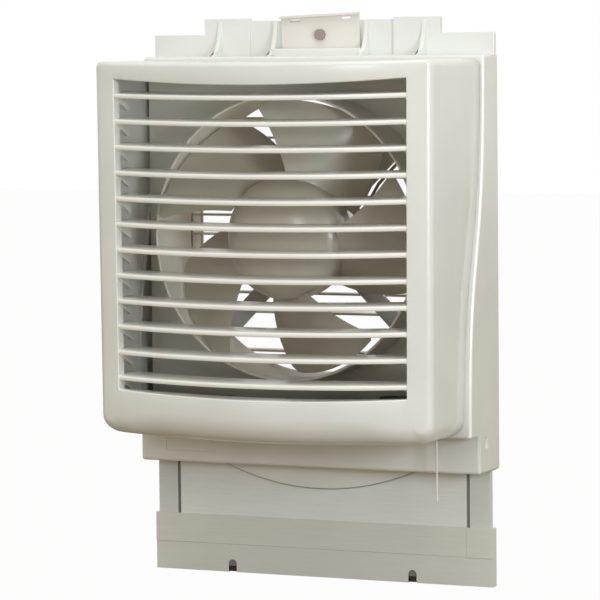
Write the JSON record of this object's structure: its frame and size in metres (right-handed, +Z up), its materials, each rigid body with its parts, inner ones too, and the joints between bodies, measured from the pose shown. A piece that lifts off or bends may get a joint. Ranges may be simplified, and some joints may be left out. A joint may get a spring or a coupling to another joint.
{
  "type": "window fan",
  "caption": "Window ventilation fan with a bowed louvred front cover, propeller, rear shutter, pull-cord switch and sliding sill panels.",
  "frame": {"origin": "middle of the sill face, under the lower sleeve", "axes": "+Z up, -Y towards the room, +X the fan's right seen from the room"},
  "size_m": [0.2692, 0.1325, 0.4123],
  "materials": {
    "ivory": "moulded ABS, satin",
    "ivory_inner": "moulded ABS, satin",
    "blade_grey": "moulded polypropylene, slightly translucent",
    "grey_panel": "extruded rigid vinyl",
    "catch_paint": "pressed steel, painted beige",
    "zinc": "zinc plated",
    "laminated_steel": "oiled steel laminations",
    "copper": "enamelled copper wire",
    "black_plastic": "black plastic",
    "cord_white": "braided cord, off-white",
    "brown_metal": "dulled steel"
  },
  "bodies": {
    "sleeve": {"lower_sleeve": "grey_panel"},
    "panel": {"inner_panel": "grey_panel"},
    "casing": {"rear_casing": "ivory", "bellmouth": "ivory_inner", "motor_bracket": "zinc", "motor_rear_shell": "zinc", "motor_front_shell": "zinc", "stator_core": "laminated_steel", "winding_front": "copper", "winding_rear": "copper", "front_bearing": "zinc", "rear_bearing": "zinc", "bracket_screw_1": "zinc", "bracket_screw_2": "zinc", "bracket_screw_3": "zinc", "bracket_screw_4": "zinc", "motor_screw_1": "zinc", "motor_screw_2": "zinc", "motor_screw_3": "zinc", "motor_screw_4": "zinc", "bellmouth_screw_1": "zinc", "bellmouth_screw_2": "zinc", "bellmouth_screw_3": "zinc", "bellmouth_screw_4": "zinc", "shutter_frame": "ivory_inner", "pull_switch": "black_plastic", "run_capacitor": "black_plastic", "cord_bush": "ivory_inner", "motor_lead": "black_plastic", "lead_clip": "black_plastic"},
    "cover": {"front_cover": "ivory"},
    "fan": {"propeller": "blade_grey", "hub_clamp": "zinc", "motor_shaft": "zinc", "motor_rotor": "laminated_steel"},
    "catch": {"catch_plate": "catch_paint", "catch_screw": "brown_metal", "catch_nut": "zinc"},
    "lever": {"switch_lever": "ivory_inner"},
    "cord": {"pull_cord": "cord_white"},
    "link": {"shutter_link": "ivory_inner"},
    "blade_01": {"shutter_blade_01": "ivory_inner"},
    "blade_02": {"shutter_blade_02": "ivory_inner"},
    "blade_03": {"shutter_blade_03": "ivory_inner"},
    "blade_04": {"shutter_blade_04": "ivory_inner"},
    "blade_05": {"shutter_blade_05": "ivory_inner"},
    "blade_06": {"shutter_blade_06": "ivory_inner"},
    "blade_07": {"shutter_blade_07": "ivory_inner"},
    "blade_08": {"shutter_blade_08": "ivory_inner"},
    "blade_09": {"shutter_blade_09": "ivory_inner"},
    "blade_10": {"shutter_blade_10": "ivory_inner"},
    "blade_11": {"shutter_blade_11": "ivory_inner"},
    "blade_12": {"shutter_blade_12": "ivory_inner"},
    "blade_13": {"shutter_blade_13": "ivory_inner"},
    "blade_14": {"shutter_blade_14": "ivory_inner"}
  },
  "joints": [
    {"name": "panel_slide", "type": "slide", "parent": "sleeve", "child": "panel", "axis": [0, 0, 1], "range_m": [0, 0.025]},
    {"name": "casing_slide", "type": "slide", "parent": "panel", "child": "casing", "axis": [0, 0, 1], "range_m": [0, 0.03]},
    {"name": "cover_hinge", "type": "hinge", "parent": "casing", "child": "cover", "pos_m": [0, -0.0157, 0.379], "axis": [-1, 0, 0], "range_deg": [0, 30]},
    {"name": "fan_spin", "type": "hinge", "parent": "casing", "child": "fan", "pos_m": [0, -0.05, 0.252], "axis": [0, 1, 0], "continuous": true},
    {"name": "catch_slide", "type": "slide", "parent": "casing", "child": "catch", "axis": [0, 0, 1], "range_m": [0, 0.0065]},
    {"name": "cord_pull", "type": "slide", "parent": "casing", "child": "cord", "axis": [0, 0, -1], "range_m": [0, 0.012], "stiffness_N_per_m": 400, "springref_m": -0.004},
    {"name": "lever_turn", "type": "hinge", "parent": "casing", "child": "lever", "pos_m": [0.084, -0.0398, 0.13], "axis": [0, 1, 0], "range_deg": [0, 32.1]},
    {"name": "blade_01_turn", "type": "hinge", "parent": "casing", "child": "blade_01", "pos_m": [0, -0.0026, 0.35], "axis": [-1, 0, 0], "range_deg": [0, 82]},
    {"name": "blade_02_turn", "type": "hinge", "parent": "casing", "child": "blade_02", "pos_m": [0, -0.0026, 0.3358], "axis": [-1, 0, 0], "range_deg": [0, 82]},
    {"name": "blade_03_turn", "type": "hinge", "parent": "casing", "child": "blade_03", "pos_m": [0, -0.0026, 0.3216], "axis": [-1, 0, 0], "range_deg": [0, 82]},
    {"name": "blade_04_turn", "type": "hinge", "parent": "casing", "child": "blade_04", "pos_m": [0, -0.0026, 0.3074], "axis": [-1, 0, 0], "range_deg": [0, 82]},
    {"name": "blade_05_turn", "type": "hinge", "parent": "casing", "child": "blade_05", "pos_m": [0, -0.0026, 0.2932], "axis": [-1, 0, 0], "range_deg": [0, 82]},
    {"name": "blade_06_turn", "type": "hinge", "parent": "casing", "child": "blade_06", "pos_m": [0, -0.0026, 0.279], "axis": [-1, 0, 0], "range_deg": [0, 82]},
    {"name": "blade_07_turn", "type": "hinge", "parent": "casing", "child": "blade_07", "pos_m": [0, -0.0026, 0.2648], "axis": [-1, 0, 0], "range_deg": [0, 82]},
    {"name": "blade_08_turn", "type": "hinge", "parent": "casing", "child": "blade_08", "pos_m": [0, -0.0026, 0.2506], "axis": [-1, 0, 0], "range_deg": [0, 82]},
    {"name": "blade_09_turn", "type": "hinge", "parent": "casing", "child": "blade_09", "pos_m": [0, -0.0026, 0.2364], "axis": [-1, 0, 0], "range_deg": [0, 82]},
    {"name": "blade_10_turn", "type": "hinge", "parent": "casing", "child": "blade_10", "pos_m": [0, -0.0026, 0.2222], "axis": [-1, 0, 0], "range_deg": [0, 82]},
    {"name": "blade_11_turn", "type": "hinge", "parent": "casing", "child": "blade_11", "pos_m": [0, -0.0026, 0.208], "axis": [-1, 0, 0], "range_deg": [0, 82]},
    {"name": "blade_12_turn", "type": "hinge", "parent": "casing", "child": "blade_12", "pos_m": [0, -0.0026, 0.1938], "axis": [-1, 0, 0], "range_deg": [0, 82]},
    {"name": "blade_13_turn", "type": "hinge", "parent": "casing", "child": "blade_13", "pos_m": [0, -0.0026, 0.1796], "axis": [-1, 0, 0], "range_deg": [0, 82]},
    {"name": "blade_14_turn", "type": "hinge", "parent": "casing", "child": "blade_14", "pos_m": [0, -0.0026, 0.1654], "axis": [-1, 0, 0], "range_deg": [0, 82]},
    {"name": "link_turn", "type": "hinge", "parent": "blade_01", "child": "link", "pos_m": [0.0992, 0.002, 0.35386], "axis": [-1, 0, 0], "range_deg": [-82, 0]}
  ],
  "couplings": [
    {"joint": "blade_02_turn", "follows": "blade_01_turn", "ratio": 1},
    {"joint": "blade_03_turn", "follows": "blade_01_turn", "ratio": 1},
    {"joint": "blade_04_turn", "follows": "blade_01_turn", "ratio": 1},
    {"joint": "blade_05_turn", "follows": "blade_01_turn", "ratio": 1},
    {"joint": "blade_06_turn", "follows": "blade_01_turn", "ratio": 1},
    {"joint": "blade_07_turn", "follows": "blade_01_turn", "ratio": 1},
    {"joint": "blade_08_turn", "follows": "blade_01_turn", "ratio": 1},
    {"joint": "blade_09_turn", "follows": "blade_01_turn", "ratio": 1},
    {"joint": "blade_10_turn", "follows": "blade_01_turn", "ratio": 1},
    {"joint": "blade_11_turn", "follows": "blade_01_turn", "ratio": 1},
    {"joint": "blade_12_turn", "follows": "blade_01_turn", "ratio": 1},
    {"joint": "blade_13_turn", "follows": "blade_01_turn", "ratio": 1},
    {"joint": "blade_14_turn", "follows": "blade_01_turn", "ratio": 1},
    {"joint": "link_turn", "follows": "blade_01_turn", "ratio": -1},
    {"joint": "lever_turn", "follows": "cord_pull", "rad_per_m": 46.6}
  ]
}
